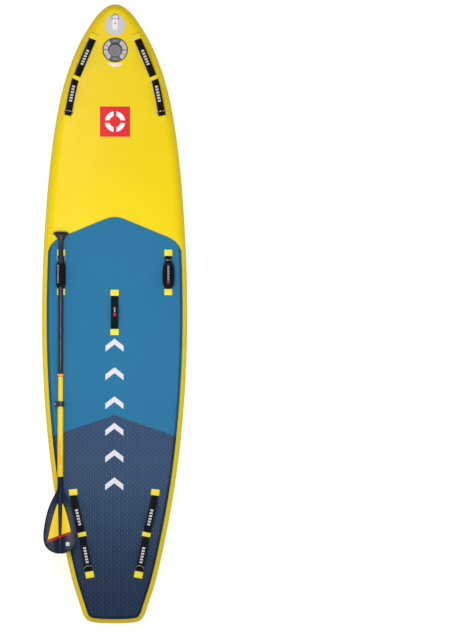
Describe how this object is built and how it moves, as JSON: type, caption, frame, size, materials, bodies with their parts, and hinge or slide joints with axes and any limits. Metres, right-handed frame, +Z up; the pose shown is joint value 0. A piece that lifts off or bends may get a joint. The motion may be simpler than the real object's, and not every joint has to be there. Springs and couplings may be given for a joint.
{
  "type": "inflatable rescue board with paddle",
  "caption": "Inflatable rescue board with a foam deck pad, grab straps, carry handles, fins, an inflation valve and a stowed adjustable paddle",
  "frame": {"origin": "on the ground under the middle of the overall box", "axes": "+Y along the board to the nose, +X to the right-hand rail, +Z up"},
  "size_m": [0.8644, 3.658, 0.3657],
  "materials": {
    "hull": "gloss",
    "pad_front": "matte",
    "pad_rear": "matte",
    "patch": "satin",
    "nose_patch": "satin",
    "webbing": "matte",
    "cuff": "matte",
    "valve": "satin",
    "valve_plate": "satin",
    "steel": "polished",
    "shaft_black": "gloss",
    "paddle_yellow": "gloss",
    "collar": "satin",
    "clamp": "satin",
    "blade": "gloss",
    "fin": "satin"
  },
  "bodies": {
    "board": {"hull": "hull", "deck_pad_front": "pad_front", "deck_pad_rear": "pad_rear", "valve_ring_plate": "valve_plate", "valve_body": "valve", "nose_deck_patch": "nose_patch", "nose_deck_tab": "patch", "nose_hull_patch": "patch", "nose_hull_tab": "patch", "left_handle_ring": "steel", "left_fin": "fin", "left_fin_base": "fin", "right_fin": "fin", "right_fin_base": "fin", "right_handle_webbing": "webbing", "right_handle_patch_front": "patch", "right_handle_patch_rear": "patch", "right_handle_cuff": "cuff", "left_handle_webbing": "webbing", "left_handle_patch_front": "patch", "left_handle_patch_rear": "patch", "left_handle_cuff": "cuff", "centre_handle_webbing": "webbing", "centre_handle_patch_front": "patch", "centre_handle_patch_rear": "patch", "front_left_grab_webbing": "webbing", "front_left_grab_patch_front": "patch", "front_left_grab_patch_middle": "patch", "front_left_grab_patch_rear": "patch", "front_right_grab_webbing": "webbing", "front_right_grab_patch_front": "patch", "front_right_grab_patch_middle": "patch", "front_right_grab_patch_rear": "patch", "rear_left_grab_webbing": "webbing", "rear_left_grab_patch_front": "patch", "rear_left_grab_patch_middle": "patch", "rear_left_grab_patch_rear": "patch", "rear_right_grab_webbing": "webbing", "rear_right_grab_patch_front": "patch", "rear_right_grab_patch_middle": "patch", "rear_right_grab_patch_rear": "patch"},
    "valve_cap": {"valve_cap": "valve"},
    "valve_stem": {"valve_stem": "valve"},
    "paddle_upper": {"paddle_grip": "shaft_black", "paddle_upper_shaft": "shaft_black", "paddle_collar": "collar", "paddle_extension_tube": "paddle_yellow"},
    "paddle_lower": {"paddle_lower_shaft": "paddle_yellow", "paddle_clamp_band": "clamp", "paddle_blade": "blade"},
    "paddle_clamp_lever": {"paddle_clamp_lever": "clamp"},
    "left_fin_pin": {"left_fin_pin": "steel"},
    "right_fin_pin": {"right_fin_pin": "steel"},
    "nose_deck_ring": {"nose_deck_ring": "steel"},
    "nose_hull_ring": {"nose_hull_ring": "steel"},
    "front_left_grab_ring": {"front_left_grab_ring": "steel"},
    "front_right_grab_ring": {"front_right_grab_ring": "steel"},
    "rear_left_grab_ring": {"rear_left_grab_ring": "steel"},
    "rear_right_grab_ring": {"rear_right_grab_ring": "steel"},
    "right_handle_ring": {"right_handle_ring": "steel"}
  },
  "joints": [
    {"name": "nose_deck_ring_swing", "type": "hinge", "parent": "board", "child": "nose_deck_ring", "pos_m": [0, 1.7365, 0.3551], "axis": [1, 0, 0], "range_deg": [0, 150]},
    {"name": "nose_hull_ring_swing", "type": "hinge", "parent": "board", "child": "nose_hull_ring", "pos_m": [0, 1.7231, 0.1841], "axis": [-1, 0, 0], "range_deg": [0, 150]},
    {"name": "front_left_grab_ring_swing", "type": "hinge", "parent": "board", "child": "front_left_grab_ring", "pos_m": [-0.2763, 1.1919, 0.1968], "axis": [0.9796, -0.1981, -0.0347], "range_deg": [0, 85]},
    {"name": "front_right_grab_ring_swing", "type": "hinge", "parent": "board", "child": "front_right_grab_ring", "pos_m": [0.2763, 1.1919, 0.1968], "axis": [0.9796, 0.1981, 0.0347], "range_deg": [0, 85]},
    {"name": "rear_left_grab_ring_swing", "type": "hinge", "parent": "board", "child": "rear_left_grab_ring", "pos_m": [-0.1506, -1.506, 0.29], "axis": [0.9823, 0.1854, -0.0279], "range_deg": [0, 85]},
    {"name": "rear_right_grab_ring_swing", "type": "hinge", "parent": "board", "child": "rear_right_grab_ring", "pos_m": [0.1506, -1.506, 0.29], "axis": [0.9823, -0.1854, 0.0279], "range_deg": [0, 85]},
    {"name": "right_handle_ring_swing", "type": "hinge", "parent": "board", "child": "right_handle_ring", "pos_m": [0.318, 0.3328, 0.1752], "axis": [-1, 0, 0], "range_deg": [0, 80]},
    {"name": "valve_cap_lift", "type": "slide", "parent": "board", "child": "valve_cap", "axis": [0, -0.3035, 0.9528], "range_m": [0, 0.05]},
    {"name": "valve_stem_press", "type": "slide", "parent": "board", "child": "valve_stem", "axis": [0, 0.3035, -0.9528], "range_m": [0, 0.005], "stiffness_N_per_m": 300, "springref_m": -0.005},
    {"name": "paddle_in_cuff", "type": "slide", "parent": "board", "child": "paddle_upper", "axis": [0, 0.9989, -0.0479], "range_m": [0, 0.15]},
    {"name": "paddle_length", "type": "slide", "parent": "paddle_upper", "child": "paddle_lower", "axis": [0, -0.9989, 0.0479], "range_m": [-0.14, 0.17]},
    {"name": "clamp_lever_open", "type": "hinge", "parent": "paddle_lower", "child": "paddle_clamp_lever", "pos_m": [-0.348, -0.53186, 0.23809], "axis": [0, -0.9989, 0.0479], "range_deg": [0, 110]},
    {"name": "left_fin_pin_pull", "type": "slide", "parent": "board", "child": "left_fin_pin", "axis": [0.9976, -0.0684, 0.0097], "range_m": [0, 0.03]},
    {"name": "right_fin_pin_pull", "type": "slide", "parent": "board", "child": "right_fin_pin", "axis": [-0.9976, -0.0684, 0.0097], "range_m": [0, 0.03]}
  ]
}
